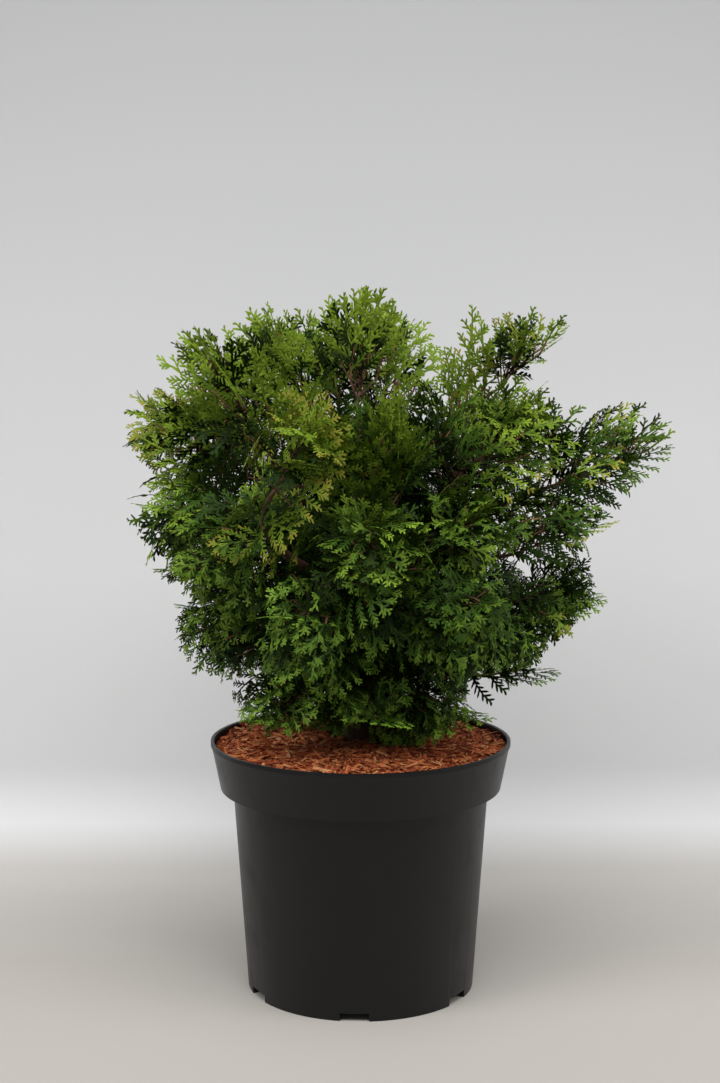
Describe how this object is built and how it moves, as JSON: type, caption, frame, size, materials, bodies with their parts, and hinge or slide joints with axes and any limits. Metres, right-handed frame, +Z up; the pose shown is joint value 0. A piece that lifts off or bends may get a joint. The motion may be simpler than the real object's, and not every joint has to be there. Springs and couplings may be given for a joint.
{
  "type": "dwarf hinoki cypress in a pot",
  "caption": "Young dwarf conifer in a round nursery pot: a dense vase-shaped crown of flat fan sprays on upcurved boughs, with shredded bark over the potting mix.",
  "frame": {"origin": "the middle of the pot's flat underside, on the ground plane, on the pot's axis", "axes": "+Z is up, along the pot's axis. -Y is the side that the picture shows, and +X is its right"},
  "size_m": [0.445, 0.3786, 0.569],
  "materials": {
    "pot_plastic": "charcoal moulded nursery pot plastic, softly matte, with faint scuffs",
    "potting_mix": "dark moist peaty potting mix",
    "shredded_bark": "red-brown shredded bark chips, rough and dry",
    "bark": "red-brown stringy bark with shallow lengthwise furrows",
    "foliage": "scale leaves in flat sprays, mid to deep green with yellow-green tips"
  },
  "bodies": {
    "root": {"bark_mulch": "shredded_bark", "bough_back": "bark", "bough_back_left": "bark", "bough_back_right": "bark", "bough_back_top": "bark", "bough_front_centre": "bark", "bough_front_inner_right": "bark", "bough_front_left": "bark", "bough_front_low": "bark", "bough_front_right": "bark", "bough_front_upright": "bark", "bough_left": "bark", "bough_left_front": "bark", "bough_left_shoulder": "bark", "bough_low_back_right": "bark", "bough_right": "bark", "bough_right_centre": "bark", "bough_right_front": "bark", "bough_right_low": "bark", "bough_top_back_left": "bark", "bough_top_left": "bark", "bough_upper_left": "bark", "bough_upper_right": "bark", "foliage_back": "foliage", "foliage_back_left": "foliage", "foliage_back_right": "foliage", "foliage_back_top": "foliage", "foliage_front_centre": "foliage", "foliage_front_inner_right": "foliage", "foliage_front_left": "foliage", "foliage_front_low": "foliage", "foliage_front_right": "foliage", "foliage_front_upright": "foliage", "foliage_left": "foliage", "foliage_left_front": "foliage", "foliage_left_shoulder": "foliage", "foliage_low_back": "foliage", "foliage_low_back_left": "foliage", "foliage_low_back_right": "foliage", "foliage_low_front": "foliage", "foliage_low_front_left": "foliage", "foliage_low_front_right": "foliage", "foliage_low_left": "foliage", "foliage_low_right": "foliage", "foliage_right": "foliage", "foliage_right_centre": "foliage", "foliage_right_front": "foliage", "foliage_right_low": "foliage", "foliage_top_back_left": "foliage", "foliage_top_centre": "foliage", "foliage_top_left": "foliage", "foliage_upper_left": "foliage", "foliage_upper_right": "foliage", "pot": "pot_plastic", "potting_mix": "potting_mix", "trunk": "bark"}
  },
  "joints": []
}
